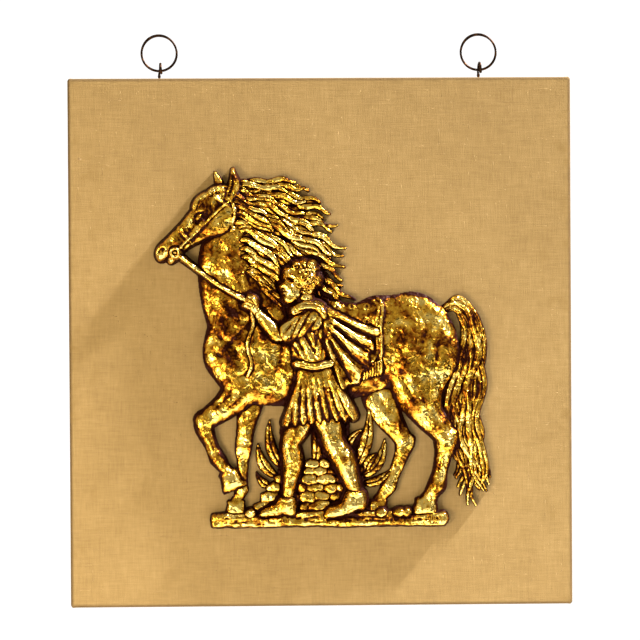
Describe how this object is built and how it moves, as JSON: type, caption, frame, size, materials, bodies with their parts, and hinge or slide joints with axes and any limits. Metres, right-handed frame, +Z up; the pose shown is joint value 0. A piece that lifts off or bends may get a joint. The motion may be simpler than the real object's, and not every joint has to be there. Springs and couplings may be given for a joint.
{
  "type": "relief plaque",
  "caption": "Square linen-covered board with a cut-out cast brass relief of a walking horse led by its groom, hung from rings in screw eyes on its top edge.",
  "frame": {"origin": "middle of the top hem's back face, where the plaque meets the wall", "axes": "+Y into the wall, +Z up, +X to the right as seen from the front; the relief faces -Y"},
  "size_m": [0.508, 0.0442, 0.5791],
  "materials": {
    "board": "sawn, bare",
    "linen": "plain weave with slubs",
    "casting": "antiqued, dark in the recesses and rubbed bright on the high places",
    "hangers": "dark, satin"
  },
  "bodies": {
    "plaque": {"panel": "board", "linen_cover": "linen", "horse_relief": "casting", "screw_eye_left": "hangers", "screw_eye_right": "hangers"},
    "left_ring": {"ring_left": "hangers"},
    "right_ring": {"ring_right": "hangers"}
  },
  "joints": [
    {"name": "left_ring_swing", "type": "hinge", "parent": "plaque", "child": "left_ring", "pos_m": [-0.16175, -0.01, 0.0282], "axis": [1, 0, 0], "range_deg": [-125, 125]},
    {"name": "right_ring_swing", "type": "hinge", "parent": "plaque", "child": "right_ring", "pos_m": [0.16175, -0.01, 0.0282], "axis": [1, 0, 0], "range_deg": [-125, 125]}
  ]
}
